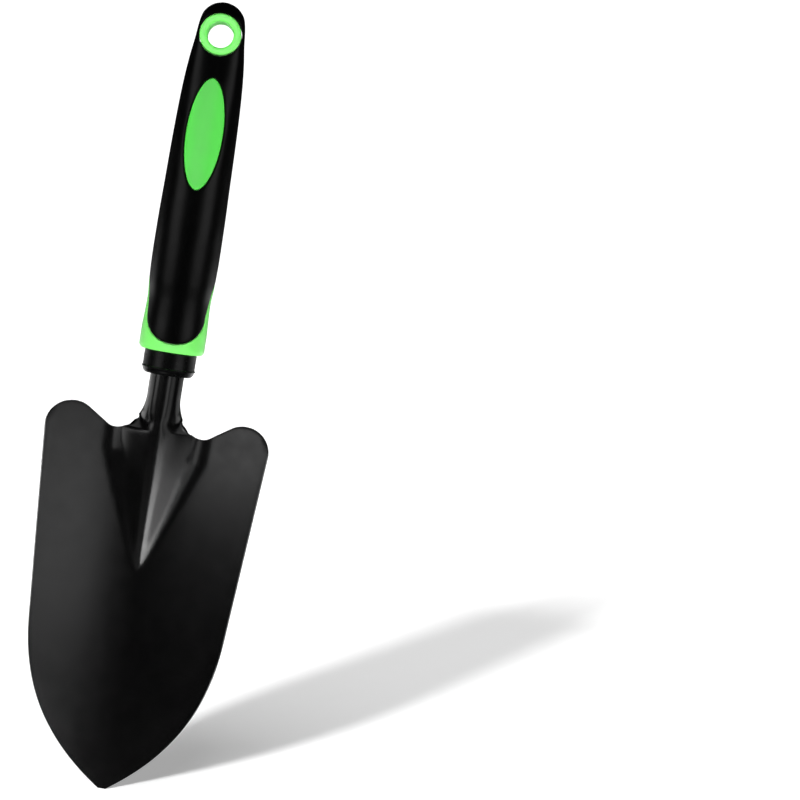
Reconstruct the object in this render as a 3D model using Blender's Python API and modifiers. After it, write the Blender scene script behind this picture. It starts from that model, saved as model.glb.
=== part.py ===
"""Hand trowel: a pressed steel blade with a rolled neck, in a two-material moulded handle.

The tool hangs from its hole: +Z runs up the handle, the scoop side faces -Y, and the world
origin is the middle of the hanging hole. Heights are written as a station, the distance in
metres above the point of the blade, and up() turns a station into a world Z.
"""

import math

import bmesh
import bpy
import numpy as np
from mathutils import Matrix, Vector

MM = 0.001

# Driving sizes, in metres
TOTAL_LENGTH = 330 * MM
HOLE_STATION = 316.3 * MM           # middle of the hanging hole, above the point
GAP = 0.3 * MM                      # clearance between pieces that touch

# Blade sheet
SHEET = 1.8 * MM
STRIP_CELLS = 8                     # mesh cells from the middle to the edge of the neck's strip
SHOULDER_CELLS = 6                  # and on from there to the outer edge
POINT_ROWS = 13
SIDE_ROWS = 5
TOP_ROWS = 7
TOP_ROWS_STATION = 118 * MM         # the rows bend towards the shoulders above here
POINT_SPACING = 1.3                 # above 1, rows crowd towards the point
SHOULDER_HALF = 46.5 * MM           # half of the greatest width
SHOULDER_STATION = 148 * MM
SHOULDER_RADIUS = 10.5 * MM
CORNER_TURN = math.radians(45)      # the shoulder's top edge ends this far round its corner
SIDE_HALF = 41 * MM                 # half width where the straight sides meet the point's curve
SIDE_STATION = 76 * MM
POINT_HALF_ANGLE = math.radians(55)
POINT_REACH = 45.6 * MM             # pull of the point's straight run on the curved edge
SIDE_REACH = 17.6 * MM              # pull of the side's straight run on the curved edge
POINT_BLUNT = 1.6 * MM
NOTCH_STATION = 150 * MM            # bottom of the notch beside the neck
NOTCH_HALF = 18.5 * MM
NOTCH_RADIUS = 5.5 * MM
NOTCH_SLOPE = math.radians(34)      # how steeply the shoulder rises out of the notch

# Press forming of the blade
CRANK = math.tan(math.radians(7))   # the point leans towards the scoop side
BASE_DEPTH = 5.5 * MM               # how far the sheet lies behind the neck's axis at the notch
DISH_ANGLE = math.tan(math.radians(17))
DISH_POWER = 1.6
BOW = math.tan(math.radians(4))      # the crank lessens by this towards the point
RIB_END = 92 * MM                   # station where the central rib has died away
RIB_FADE = 86 * MM                  # its half width would shrink to nothing here
RIB_WIDENING = 0.45                  # half width gained for each unit of station
RIB_HALF_MAX = 24.5 * MM
RIB_HEIGHT = 11.6 * MM              # at the notch
RIB_CREST_POWER = 1.7
RIB_FLANK_POWER = 3.0

# Rolled neck and tang
NECK_RADIUS = 7 * MM
NECK_STATION = 166 * MM             # the roll is closed from here up
TANG_END = 245 * MM
TANG_END_ROOM = 0.6 * MM            # space above the tang in its socket
SEAM_GAP = 0.5 * MM
TUBE_RADIUS = NECK_RADIUS - SHEET / 2
NECK_ROWS = 9                       # mesh rows from the strip's foot to the closed roll
STRIP_TURN = math.radians(20)       # the strip starts this far up the notch's elliptical edge
OPEN_ANGLE = math.radians(51)       # half angle of the arc through the section at the notch
BENT_AT = 0.55                      # the section is an arc from this part of the way up

# Handle sections, in millimetres: station, half width, half depth, forward offset. The last
# number is the squareness of the section, 2 for an ellipse and more for a boxier one.
HANDLE_BOTTOM = 185 * MM
HANDLE_RINGS = (
    (185.0, 12.7, 12.2, 0.0, 2.0),
    (186.3, 13.6, 13.1, 0.0, 2.0),
    (193.0, 13.6, 13.2, 0.0, 2.0),
    (200.0, 13.3, 13.0, 0.1, 2.0),
    (206.0, 13.1, 13.0, 0.3, 2.0),
    (214.0, 13.6, 13.4, 0.6, 2.0),
    (226.0, 13.9, 13.6, 1.0, 2.0),
    (240.0, 13.8, 13.4, 1.3, 2.1),
    (254.0, 13.5, 12.9, 1.4, 2.1),
    (270.0, 13.2, 12.1, 1.3, 2.2),
    (284.0, 12.8, 11.1, 0.9, 2.3),
    (296.0, 12.2, 10.0, 0.5, 2.6),
    (306.0, 11.3, 9.0, 0.1, 3.0),
    (314.0, 10.2, 8.4, 0.0, 3.6),
    (320.5, 9.5, 8.0, 0.0, 3.6),
    (324.5, 8.6, 7.2, 0.0, 3.2),
    (327.4, 6.6, 5.7, 0.0, 2.6),
    (329.2, 4.1, 3.7, 0.0, 2.2),
    (330.0, 1.6, 1.5, 0.0, 2.0),
)
HANDLE_SIDES = 28
SMALLEST_RING = 0.5 * MM
SKIN = 2.3 * MM                     # thickness of the soft grip

# Windows in the soft grip
U_BOTTOM = 188.8 * MM
U_HALF = 12 * MM
U_SQUARE = 200 * MM
U_EXIT_HALF = 13.9 * MM
U_EXIT = 217 * MM
U_FLARE = 4 * MM
U_FULLNESS = 0.9                    # below 1, the U's corners are fuller than an ellipse's
U_STEPS = 9
PAD_STATION = 275.2 * MM
PAD_LENGTH = 46.5 * MM
PAD_WIDTH = 15.9 * MM
PAD_POINTING = 1.06                 # above 1, the ends are more pointed than an ellipse's
PAD_STEPS = 32
PAD_BACK = -4 * MM                  # the window's cut stops here, short of the handle's middle
BOSS_RADIUS = 8.8 * MM
BOSS_HALF_DEPTH = 8.5 * MM
BOSS_CHAMFER = 0.8 * MM
HOLE_RADIUS = 5.4 * MM
COUNTERSINK = 0.9 * MM

# Sleeve below the handle
SLEEVE_BOTTOM = 175.3 * MM
SLEEVE_RADIUS = 10.8 * MM
SLEEVE_LIP = 11.15 * MM
SLEEVE_LIP_STATION = 177.6 * MM
SLEEVE_LIP_ROUND = 0.9 * MM
SLEEVE_LIP_HEIGHT = 0.5 * MM
SLEEVE_STEP = 1.2 * MM              # from the lip to the plain sleeve above it and the cone below
SLEEVE_NOSE = 8.3 * MM
SPIGOT_RADIUS = 9.5 * MM
SPIGOT_END = 195 * MM

# Cross pin that holds the tang
PIN_STATION = 228 * MM
PIN_RADIUS = 2 * MM
PIN_HALF_LENGTH = 10.4 * MM

ROUND_SIDES = 40
PIN_SIDES = 20
SHARP_ANGLE = math.radians(35)
OVERSHOOT = 20 * MM                 # how far a cutter runs past what it cuts


def up(station):
    """World Z of a station."""
    return station - HOLE_STATION


# ---------------------------------------------------------------- scene helpers

def clear_scene():
    for obj in list(bpy.data.objects):
        bpy.data.objects.remove(obj, do_unlink=True)


def new_collection(name):
    collection = bpy.data.collections.new(name)
    bpy.context.scene.collection.children.link(collection)
    return collection


def new_object(name, bm, collection):
    bmesh.ops.recalc_face_normals(bm, faces=bm.faces)
    mesh = bpy.data.meshes.new(name)
    bm.to_mesh(mesh)
    bm.free()
    obj = bpy.data.objects.new(name, mesh)
    collection.objects.link(obj)
    if collection is CUTTERS:
        obj.hide_render = True
        obj.display_type = 'WIRE'
    return obj


def shade_round(obj):
    """Smooth shading that keeps the edges sharper than SHARP_ANGLE."""
    obj.data.shade_smooth()
    obj.data.set_sharp_from_angle(angle=SHARP_ANGLE)


def boolean(obj, other, operation):
    modifier = obj.modifiers.new(operation.lower() + "_" + other.name, 'BOOLEAN')
    modifier.operation = operation
    modifier.solver = 'EXACT'
    modifier.object = other


def give_material(obj, name, colour, roughness, metallic=0.0):
    material = bpy.data.materials.new(name)
    material.use_nodes = True
    shader = material.node_tree.nodes["Principled BSDF"]
    shader.inputs["Base Color"].default_value = (*colour, 1.0)
    shader.inputs["Roughness"].default_value = roughness
    shader.inputs["Metallic"].default_value = metallic
    material.diffuse_color = (*colour, 1.0)
    obj.data.materials.append(material)


def cylinder(name, radius, start, end, collection, sides=ROUND_SIDES):
    """A cylinder between two points."""
    bm = bmesh.new()
    bmesh.ops.create_cone(bm, cap_ends=True, segments=sides, radius1=radius, radius2=radius,
                          depth=(end - start).length)
    turn = (end - start).to_track_quat('Z', 'Y').to_matrix().to_4x4()
    bmesh.ops.transform(bm, verts=bm.verts, matrix=Matrix.Translation((start + end) / 2) @ turn)
    return new_object(name, bm, collection)


def turned(name, profile, collection):
    """A turned shape from radius and Z pairs that run down its outer side.

    A profile that starts and ends on the axis makes a solid shape. Any other profile goes back
    up its bore and closes.
    """
    bm = bmesh.new()
    points = [bm.verts.new((radius, 0.0, z)) for radius, z in profile]
    solid = profile[0][0] == 0.0
    for i in range(len(points) - solid):
        bm.edges.new((points[i], points[(i + 1) % len(points)]))
    obj = new_object(name, bm, collection)
    screw = obj.modifiers.new("turn", 'SCREW')
    screw.steps = ROUND_SIDES
    screw.render_steps = ROUND_SIDES
    screw.use_merge_vertices = True
    screw.merge_threshold = 0.00001
    screw.use_normal_calculate = not solid
    return obj


def prism(name, outline, front, back, collection):
    """An outline of X and Z pairs, extruded along Y from front to back."""
    bm = bmesh.new()
    near = [bm.verts.new((x, front, z)) for x, z in outline]
    face = bm.faces.new(near)
    grown = bmesh.ops.extrude_face_region(bm, geom=[face])
    moved = [item for item in grown["geom"] if isinstance(item, bmesh.types.BMVert)]
    bmesh.ops.translate(bm, verts=moved, vec=(0.0, back - front, 0.0))
    return new_object(name, bm, collection)


# ---------------------------------------------------------------- blade

def bezier(points, t):
    """A point on a cubic Bezier curve, for t from 0 to 1."""
    a, b, c, d = (np.array(point) for point in points)
    return a * (1 - t) ** 3 + 3 * b * t * (1 - t) ** 2 + 3 * c * t * t * (1 - t) + d * t ** 3


def side_slope():
    """Half width gained for each unit of station along the straight side."""
    return (SHOULDER_HALF - SIDE_HALF) / (SHOULDER_STATION - SIDE_STATION)


def outer_side(station):
    """The outer edge beside and above the straight side, up to the shoulder's round."""
    if station <= SHOULDER_STATION:
        return (SIDE_HALF + side_slope() * (station - SIDE_STATION), station)
    rise = station - SHOULDER_STATION
    return (SHOULDER_HALF - SHOULDER_RADIUS
            + math.sqrt(SHOULDER_RADIUS ** 2 - rise * rise), station)


def point_curve(t):
    """The curved lower edge, from the point (t = 0) to where the side is straight (t = 1)."""
    lean = math.atan(side_slope())
    start = (POINT_BLUNT, 0.0)
    end = (SIDE_HALF, SIDE_STATION)
    leave = (start[0] + POINT_REACH * math.sin(POINT_HALF_ANGLE),
             start[1] + POINT_REACH * math.cos(POINT_HALF_ANGLE))
    arrive = (end[0] - SIDE_REACH * math.sin(lean), end[1] - SIDE_REACH * math.cos(lean))
    return bezier((start, leave, arrive, end), t)


def shoulder_top(t):
    """The top edge of the right shoulder, from the notch (t = 0) to the outer corner (t = 1)."""
    centre_x = SHOULDER_HALF - SHOULDER_RADIUS
    notch_end = (NOTCH_HALF + NOTCH_RADIUS * math.sin(NOTCH_SLOPE),
                 NOTCH_STATION + NOTCH_RADIUS * (1 - math.cos(NOTCH_SLOPE)))
    crown_start = (centre_x - SHOULDER_RADIUS * math.sin(NOTCH_SLOPE),
                   SHOULDER_STATION + SHOULDER_RADIUS * math.cos(NOTCH_SLOPE))
    run = math.dist(notch_end, crown_start)
    inner = math.dist(notch_edge(STRIP_TURN), (NOTCH_HALF, NOTCH_STATION))
    bend = NOTCH_RADIUS * NOTCH_SLOPE
    crown = SHOULDER_RADIUS * (NOTCH_SLOPE + CORNER_TURN)
    along = t * (inner + bend + run + crown) - inner
    if along < 0.0:
        return notch_edge(STRIP_TURN * -along / inner)
    if along < bend:
        angle = along / NOTCH_RADIUS
        return (NOTCH_HALF + NOTCH_RADIUS * math.sin(angle),
                NOTCH_STATION + NOTCH_RADIUS * (1 - math.cos(angle)))
    if along < bend + run:
        part = (along - bend) / run
        return (notch_end[0] + part * (crown_start[0] - notch_end[0]),
                notch_end[1] + part * (crown_start[1] - notch_end[1]))
    angle = (along - bend - run) / SHOULDER_RADIUS - NOTCH_SLOPE
    return (centre_x + SHOULDER_RADIUS * math.sin(angle),
            SHOULDER_STATION + SHOULDER_RADIUS * math.cos(angle))


def rib_height(x, station):
    """Height of the central rib above the dished sheet."""
    if station <= RIB_END:
        return 0.0
    half = min(RIB_WIDENING * (station - RIB_FADE), RIB_HALF_MAX)
    across = min(abs(x) / half, 1.0)
    height = RIB_HEIGHT * (station - RIB_END) / (NOTCH_STATION - RIB_END)
    return height * (1 - across ** RIB_CREST_POWER) ** RIB_FLANK_POWER


def sheet_depth(x, station):
    """World Y of the middle of the sheet, over the blade and the foot of the neck."""
    below = NOTCH_STATION - station
    valley = BASE_DEPTH - CRANK * below + BOW * below * below / (2 * NOTCH_STATION)
    dish = DISH_ANGLE * SHOULDER_HALF / DISH_POWER * (abs(x) / SHOULDER_HALF) ** DISH_POWER
    return valley - dish - rib_height(x, station)


def ease(part):
    """A smooth rise from 0 to 1."""
    return part * part * (3 - 2 * part)


def notch_edge(turn):
    """The neck's edge of the notch, a quarter ellipse from its bottom (0) up to the tube."""
    return (NOTCH_HALF - (NOTCH_HALF - TUBE_RADIUS) * math.sin(turn),
            NOTCH_STATION + (NECK_STATION - NOTCH_STATION) * (1 - math.cos(turn)))


def neck_point(across, turn):
    """A point of the rolling neck: across runs from -1 to 1 between the edges of the strip.

    The section starts as the blade's beside the notch, bends into an arc and closes to a tube.
    """
    reach, station = notch_edge(turn)
    rise = (station - NOTCH_STATION) / (NECK_STATION - NOTCH_STATION)
    closed = math.pi - SEAM_GAP / TUBE_RADIUS / 2
    half_angle = OPEN_ANGLE + (closed - OPEN_ANGLE) * ease(rise)
    radius = reach / math.sin(min(half_angle, math.pi / 2))
    bent = ease(min(rise / BENT_AT, 1.0))
    angle = across * half_angle
    x = (1 - bent) * across * reach + bent * radius * math.sin(angle)
    y = ((1 - bent) * sheet_depth(across * reach, notch_edge(STRIP_TURN)[1])
         + bent * (radius * (1 - math.cos(angle)) - TUBE_RADIUS))
    return (x, y, up(station))


def tube_point(across, station):
    """A point of the closed tube and the tang above the neck."""
    x, y, _ = neck_point(across, math.pi / 2)
    return (x, y, up(station))


def blade_rows():
    """Rows of (x, station) points, each from the left edge of the blade to the right edge."""
    strip_half, strip_station = notch_edge(STRIP_TURN)
    strip = strip_half / SHOULDER_HALF
    fractions = [strip * j / STRIP_CELLS for j in range(STRIP_CELLS)]
    fractions += [strip + (1 - strip) * j / SHOULDER_CELLS for j in range(SHOULDER_CELLS + 1)]

    edge = [point_curve((i / POINT_ROWS) ** POINT_SPACING) for i in range(POINT_ROWS)]
    for i in range(SIDE_ROWS + 1):
        edge.append(outer_side(SIDE_STATION + (TOP_ROWS_STATION - SIDE_STATION) * i / SIDE_ROWS))
    right = [[(fraction * x, station) for fraction in fractions] for x, station in edge]

    base = right[-1]
    tops = [(fraction * SHOULDER_HALF, strip_station) for fraction in fractions[:STRIP_CELLS]]
    tops += [shoulder_top(j / SHOULDER_CELLS) for j in range(SHOULDER_CELLS + 1)]
    for i in range(1, TOP_ROWS + 1):
        part = i / TOP_ROWS
        row = [(low[0] + part * (high[0] - low[0]), low[1] + part * (high[1] - low[1]))
               for low, high in zip(base, tops)]
        row[-1] = outer_side(row[-1][1])
        right.append(row)
    return [[(-x, station) for x, station in reversed(row[1:])] + row for row in right]


def make_blade():
    """Blade, rib, neck and tang: one sheet, cut flat, pressed and rolled."""
    bm = bmesh.new()
    grid = [[bm.verts.new((x, sheet_depth(x, station), up(station))) for x, station in row]
            for row in blade_rows()]
    for low, high in zip(grid, grid[1:]):
        bridge(bm, low, high)
    middle = len(grid[0]) // 2
    low = grid[-1][middle - STRIP_CELLS:middle + STRIP_CELLS + 1]
    across = [j / STRIP_CELLS for j in range(-STRIP_CELLS, STRIP_CELLS + 1)]
    turns = [STRIP_TURN + (math.pi / 2 - STRIP_TURN) * i / NECK_ROWS for i in range(1, NECK_ROWS + 1)]
    neck = [[neck_point(part, turn) for part in across] for turn in turns]
    neck += [[tube_point(part, station) for part in across] for station in (PIN_STATION, TANG_END)]
    for row in neck:
        high = [bm.verts.new(point) for point in row]
        bridge(bm, low, high)
        low = high
    blade = new_object("blade", bm, PARTS)
    thicken = blade.modifiers.new("sheet", 'SOLIDIFY')
    thicken.thickness = SHEET
    thicken.offset = 0.0
    shade_round(blade)
    boolean(blade, pin_cutter("tang_pin_hole"), 'DIFFERENCE')
    give_material(blade, "powder_coated_steel", (0.014, 0.014, 0.015), 0.42)
    return blade


def bridge(bm, low, high):
    """Quads between two rows that have the same number of points."""
    for j in range(len(low) - 1):
        bm.faces.new((low[j], low[j + 1], high[j + 1], high[j]))


def pin_cutter(name):
    """A cutter for the pin's hole, with clearance, along X."""
    start = Vector((-OVERSHOOT, 0, up(PIN_STATION)))
    end = Vector((OVERSHOOT, 0, up(PIN_STATION)))
    return cylinder(name, PIN_RADIUS + GAP, start, end, CUTTERS, PIN_SIDES)


# ---------------------------------------------------------------- handle

def handle_ring(bm, ring, inset):
    """One section of the handle, a superellipse shrunk all round by inset."""
    station, half_width, half_depth, forward, square = ring
    round_end = (station * MM - HOLE_STATION) / (TOTAL_LENGTH - HOLE_STATION)
    height = up(station * MM) - inset * max(round_end, 0.0)
    half_x = max(half_width * MM - inset, SMALLEST_RING)
    half_y = max(half_depth * MM - inset, SMALLEST_RING)
    points = []
    for j in range(HANDLE_SIDES):
        angle = 2 * math.pi * (j + 0.5) / HANDLE_SIDES
        across = math.cos(angle)
        deep = math.sin(angle)
        x = math.copysign(abs(across) ** (2 / square), across) * half_x
        y = math.copysign(abs(deep) ** (2 / square), deep) * half_y - forward * MM
        points.append(bm.verts.new((x, y, height)))
    return points


def handle_form(name, inset, collection):
    """The handle's outer form as a closed loft, shrunk by inset at its sides and top."""
    bm = bmesh.new()
    rings = [handle_ring(bm, ring, inset) for ring in HANDLE_RINGS]
    for low, high in zip(rings, rings[1:]):
        bridge(bm, low + low[:1], high + high[:1])
    bm.faces.new(rings[0])
    bm.faces.new(rings[-1])
    return new_object(name, bm, collection)


def u_outline(grow):
    """The front view of the soft grip's lower edge: a U that runs up and out past the sides."""
    right = []
    for i in range(U_STEPS + 1):
        angle = math.pi / 2 * i / U_STEPS
        right.append(((U_HALF + grow) * math.sin(angle) ** U_FULLNESS,
                      up(U_SQUARE) - (U_SQUARE - U_BOTTOM + grow) * math.cos(angle) ** U_FULLNESS))
    right.append((U_EXIT_HALF + grow, up(U_EXIT)))
    right.append((OVERSHOOT, up(U_EXIT) + U_FLARE))
    right.append((OVERSHOOT, up(TOTAL_LENGTH) + OVERSHOOT))
    left = [(-x, z) for x, z in reversed(right[1:])]
    return right + left


def pad_outline(grow):
    """The thumb pad's outline: an ellipse with slightly pointed ends."""
    outline = []
    for i in range(PAD_STEPS):
        angle = 2 * math.pi * i / PAD_STEPS
        across = math.cos(angle)
        x = math.copysign(abs(across) ** PAD_POINTING, across) * (PAD_WIDTH / 2 + grow)
        z = math.sin(angle) * (PAD_LENGTH / 2 + grow)
        outline.append((x, up(PAD_STATION) + z))
    return outline


def boss_form(name, radius, half_depth, collection):
    """A short cylinder on the hanging hole's axis."""
    reach = Vector((0, half_depth, 0))
    return cylinder(name, radius, -reach, reach, collection)


def make_core():
    """Hard inner handle: collar, thumb pad and ring show through the soft grip."""
    core = handle_form("handle_core", SKIN + GAP, PARTS)
    collar = handle_form("collar_form", 0.0, CUTTERS)
    boolean(collar, prism("grip_region_wide", u_outline(GAP), -OVERSHOOT, OVERSHOOT, CUTTERS),
            'DIFFERENCE')
    pad = handle_form("pad_form", 0.0, CUTTERS)
    boolean(pad, prism("pad_region", pad_outline(-GAP), -OVERSHOOT, PAD_BACK, CUTTERS), 'INTERSECT')
    boss = boss_form("boss_form", BOSS_RADIUS - GAP, BOSS_HALF_DEPTH, CUTTERS)
    chamfer = boss.modifiers.new("round", 'BEVEL')
    chamfer.width = BOSS_CHAMFER
    chamfer.segments = 2
    for piece in (collar, pad, boss):
        boolean(core, piece, 'UNION')
    for cutter in (hole_cutter(), socket_cutter(), pin_cutter("core_pin_hole")):
        boolean(core, cutter, 'DIFFERENCE')
    shade_round(core)
    give_material(core, "green_plastic", (0.10, 0.86, 0.13), 0.35)
    return core


def hole_cutter():
    """The hanging hole, opened out by a countersink at each face."""
    wide = HOLE_RADIUS + COUNTERSINK + GAP
    face = BOSS_HALF_DEPTH + GAP
    deep = BOSS_HALF_DEPTH - COUNTERSINK
    profile = [(0.0, face), (wide, face), (HOLE_RADIUS, deep),
               (HOLE_RADIUS, -deep), (wide, -face), (0.0, -face)]
    cutter = turned("hang_hole", profile, CUTTERS)
    cutter.rotation_euler = (math.pi / 2, 0.0, 0.0)
    return cutter


def socket_cutter():
    """The bore for the tang, with a wider mouth for the sleeve's spigot."""
    bore = NECK_RADIUS + GAP
    mouth = SPIGOT_RADIUS + GAP
    top = up(TANG_END) + TANG_END_ROOM
    shoulder = up(SPIGOT_END) + GAP
    bottom = up(HANDLE_BOTTOM) - OVERSHOOT
    profile = [(0.0, top), (bore, top), (bore, shoulder), (mouth, shoulder), (mouth, bottom),
               (0.0, bottom)]
    return turned("tang_socket", profile, CUTTERS)


def make_grip():
    """Soft grip moulded over the core, with windows for the pad and the ring."""
    grip = handle_form("grip_overmould", 0.0, PARTS)
    boolean(grip, prism("grip_region", u_outline(0.0), -OVERSHOOT, OVERSHOOT, CUTTERS), 'INTERSECT')
    boolean(grip, handle_form("grip_inside", SKIN, CUTTERS), 'DIFFERENCE')
    boolean(grip, prism("pad_window", pad_outline(0.0), -OVERSHOOT, PAD_BACK, CUTTERS), 'DIFFERENCE')
    boolean(grip, boss_form("boss_window", BOSS_RADIUS, OVERSHOOT, CUTTERS), 'DIFFERENCE')
    shade_round(grip)
    give_material(grip, "black_soft_grip", (0.010, 0.010, 0.011), 0.5)
    return grip


def make_sleeve():
    """Black sleeve round the neck, with a lip below and a spigot up inside the handle."""
    bore = NECK_RADIUS + GAP
    seat = up(HANDLE_BOTTOM) - GAP
    lip = up(SLEEVE_LIP_STATION)
    profile = [(SPIGOT_RADIUS, up(SPIGOT_END)), (SPIGOT_RADIUS, seat), (SLEEVE_RADIUS, seat),
               (SLEEVE_RADIUS, lip + SLEEVE_STEP), (SLEEVE_LIP, lip + SLEEVE_LIP_HEIGHT),
               (SLEEVE_LIP, lip), (SLEEVE_LIP - SLEEVE_LIP_ROUND, lip - SLEEVE_STEP),
               (SLEEVE_NOSE, up(SLEEVE_BOTTOM)), (bore, up(SLEEVE_BOTTOM)), (bore, up(SPIGOT_END))]
    sleeve = turned("neck_sleeve", profile, PARTS)
    give_material(sleeve, "black_plastic", (0.012, 0.012, 0.013), 0.38)
    return sleeve


def make_pin():
    """Steel cross pin through the core and the tang, hidden under the soft grip."""
    half = Vector((PIN_HALF_LENGTH, 0, 0))
    centre = Vector((0, 0, up(PIN_STATION)))
    pin = cylinder("tang_pin", PIN_RADIUS, centre - half, centre + half, PARTS, PIN_SIDES)
    shade_round(pin)
    give_material(pin, "pin_steel", (0.55, 0.55, 0.56), 0.35, 1.0)
    return pin


clear_scene()
PARTS = new_collection("hand_trowel")
CUTTERS = new_collection("cutters")
make_blade()
make_sleeve()
make_core()
make_grip()
make_pin()
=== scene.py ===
"""Looks of the hand trowel: powder-coated pressed blade, soft black grip, green inner handle.

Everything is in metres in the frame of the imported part: +Z runs up the handle, the scoop side
faces -Y, and the origin is the middle of the hanging hole. A station is a height above the point
of the blade, and up() turns it into Z.
"""

import math
from collections import namedtuple

import bmesh
import bpy
import numpy as np
from mathutils import Euler, Matrix, Vector
from mathutils.geometry import delaunay_2d_cdt


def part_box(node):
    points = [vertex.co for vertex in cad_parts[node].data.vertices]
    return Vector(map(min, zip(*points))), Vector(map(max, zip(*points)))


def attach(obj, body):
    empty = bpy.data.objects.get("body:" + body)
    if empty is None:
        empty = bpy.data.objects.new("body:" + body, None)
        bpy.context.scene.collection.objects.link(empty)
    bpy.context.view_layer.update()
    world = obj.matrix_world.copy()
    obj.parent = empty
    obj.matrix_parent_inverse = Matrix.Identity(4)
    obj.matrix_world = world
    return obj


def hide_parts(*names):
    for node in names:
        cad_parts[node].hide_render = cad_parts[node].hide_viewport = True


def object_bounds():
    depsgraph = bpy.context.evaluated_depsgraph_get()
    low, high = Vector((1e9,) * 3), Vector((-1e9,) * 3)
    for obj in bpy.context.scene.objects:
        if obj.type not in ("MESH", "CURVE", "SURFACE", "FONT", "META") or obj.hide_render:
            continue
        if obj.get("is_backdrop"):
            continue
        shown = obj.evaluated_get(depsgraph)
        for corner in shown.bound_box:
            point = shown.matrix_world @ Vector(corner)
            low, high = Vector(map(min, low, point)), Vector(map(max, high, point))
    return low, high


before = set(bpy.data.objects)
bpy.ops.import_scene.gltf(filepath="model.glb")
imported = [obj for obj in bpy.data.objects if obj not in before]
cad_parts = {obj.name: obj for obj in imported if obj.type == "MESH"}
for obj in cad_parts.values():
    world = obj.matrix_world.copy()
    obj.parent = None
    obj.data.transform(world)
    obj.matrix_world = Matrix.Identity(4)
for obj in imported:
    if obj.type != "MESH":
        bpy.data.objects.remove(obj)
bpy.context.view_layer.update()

MM = 0.001

# Places from the frame
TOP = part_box("grip_overmould")[1].z
SLEEVE_LOW, SLEEVE_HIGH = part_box("neck_sleeve")
TANG_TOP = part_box("blade")[1].z
TOTAL_LENGTH = 330 * MM
GAP = 0.3 * MM


def up(station):
    """World Z of a station in metres."""
    return TOP - TOTAL_LENGTH + station


HOLE_STATION = -up(0.0)

# Blade sheet
SHEET = 1.8 * MM
EDGE_ROUND = 0.7 * MM
EDGE_STEPS = 4
EDGE_ANGLE = math.radians(50)       # edges sharper than this are rounded
STRIP_CELLS = 26                    # cells from the middle to the edge of the neck's strip
SHOULDER_CELLS = 24                 # and on from there to the outer edge
POINT_ROWS = 60
SIDE_ROWS = 34
TOP_ROWS = 30
TOP_ROWS_STATION = 118 * MM         # the rows bend towards the shoulders above here
POINT_SPACING = 1.3                 # above 1, rows crowd towards the point
SHOULDER_HALF = 46.5 * MM
SHOULDER_STATION = 148 * MM
SHOULDER_RADIUS = 10.5 * MM
CORNER_TURN = math.radians(45)
SIDE_HALF = 41 * MM
SIDE_STATION = 76 * MM
POINT_HALF_ANGLE = math.radians(55)
POINT_REACH = 45.6 * MM
SIDE_REACH = 17.6 * MM
POINT_BLUNT = 1.6 * MM
NOTCH_STATION = 150 * MM
NOTCH_HALF = 18.5 * MM
NOTCH_RADIUS = 5.5 * MM
NOTCH_SLOPE = math.radians(34)

# Press forming
CRANK = math.tan(math.radians(7))
BASE_DEPTH = 5.5 * MM
DISH_ANGLE = math.tan(math.radians(17))
DISH_POWER = 1.6
BOW = math.tan(math.radians(4))      # the crank lessens by this towards the point
RIB_END = 92 * MM
RIB_FADE = 86 * MM
RIB_WIDENING = 0.45
RIB_HALF_MAX = 24.5 * MM
RIB_HEIGHT = 11.6 * MM
RIB_CREST_POWER = 1.7
RIB_FLANK_POWER = 3.0

# Rolled neck and tang
NECK_RADIUS = 7 * MM
NECK_STATION = 166 * MM
TUBE_RADIUS = NECK_RADIUS - SHEET / 2
NECK_ROWS = 30                      # from the strip's foot to the closed roll
STRIP_TURN = math.radians(20)       # the strip starts this far up the notch's elliptical edge
OPEN_ANGLE = math.radians(51)       # half angle of the arc through the section at the notch
BENT_AT = 0.55                      # the section is an arc from this part of the way up
SEAM_GAP = 0.5 * MM
BLEND_LOW = 126 * MM                # the sheet is evened out between these stations, where the
BLEND_HIGH = 170 * MM               # blade runs into the neck
BLEND_REACH = 5 * MM
BLEND_POWER = 8

# Handle sections, in millimetres: station, half width, half depth, forward offset. The last
# number is the squareness of the section, 2 for an ellipse and more for a boxier one.
HANDLE_RINGS = np.array((
    (185.0, 12.7, 12.2, 0.0, 2.0),
    (186.3, 13.6, 13.1, 0.0, 2.0),
    (193.0, 13.6, 13.2, 0.0, 2.0),
    (200.0, 13.3, 13.0, 0.1, 2.0),
    (206.0, 13.1, 13.0, 0.3, 2.0),
    (214.0, 13.6, 13.4, 0.6, 2.0),
    (226.0, 13.9, 13.6, 1.0, 2.0),
    (240.0, 13.8, 13.4, 1.3, 2.1),
    (254.0, 13.5, 12.9, 1.4, 2.1),
    (270.0, 13.2, 12.1, 1.3, 2.2),
    (284.0, 12.8, 11.1, 0.9, 2.3),
    (296.0, 12.2, 10.0, 0.5, 2.6),
    (306.0, 11.3, 9.0, 0.1, 3.0),
    (314.0, 10.2, 8.4, 0.0, 3.6),
    (320.5, 9.5, 8.0, 0.0, 3.6),
    (324.5, 8.6, 7.2, 0.0, 3.2),
    (327.4, 6.6, 5.7, 0.0, 2.6),
    (329.2, 4.1, 3.7, 0.0, 2.2),
    (330.0, 1.6, 1.5, 0.0, 2.0),
))
PROFILE_STEPS = 1200                # samples along the handle's smooth profile
MEAN_RADIUS = 13.3                  # the unrolled skin is this many millimetres wide per radian
SKIN_WIDTH = 2 * math.pi * MEAN_RADIUS
CELL = 1.0                          # spacing of the skin's points, in millimetres
CLEARANCE = 0.62                    # free points stay this many cells away from outlines
OUTLINE_STEPS = 200                 # fine points of a curve before it is resampled
ROUND_STEPS = 360
MERGE_DISTANCE = 1e-7
RING_SIDES = 72
SKIN = 2.3
CAP_STATION = 326.6                 # the skin's triangles end here and rings close the top
CAP_RINGS = 9
SMALLEST = 0.5                      # least half width and half depth of a shrunk section
SHARP_ANGLE = math.radians(38)
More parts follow.
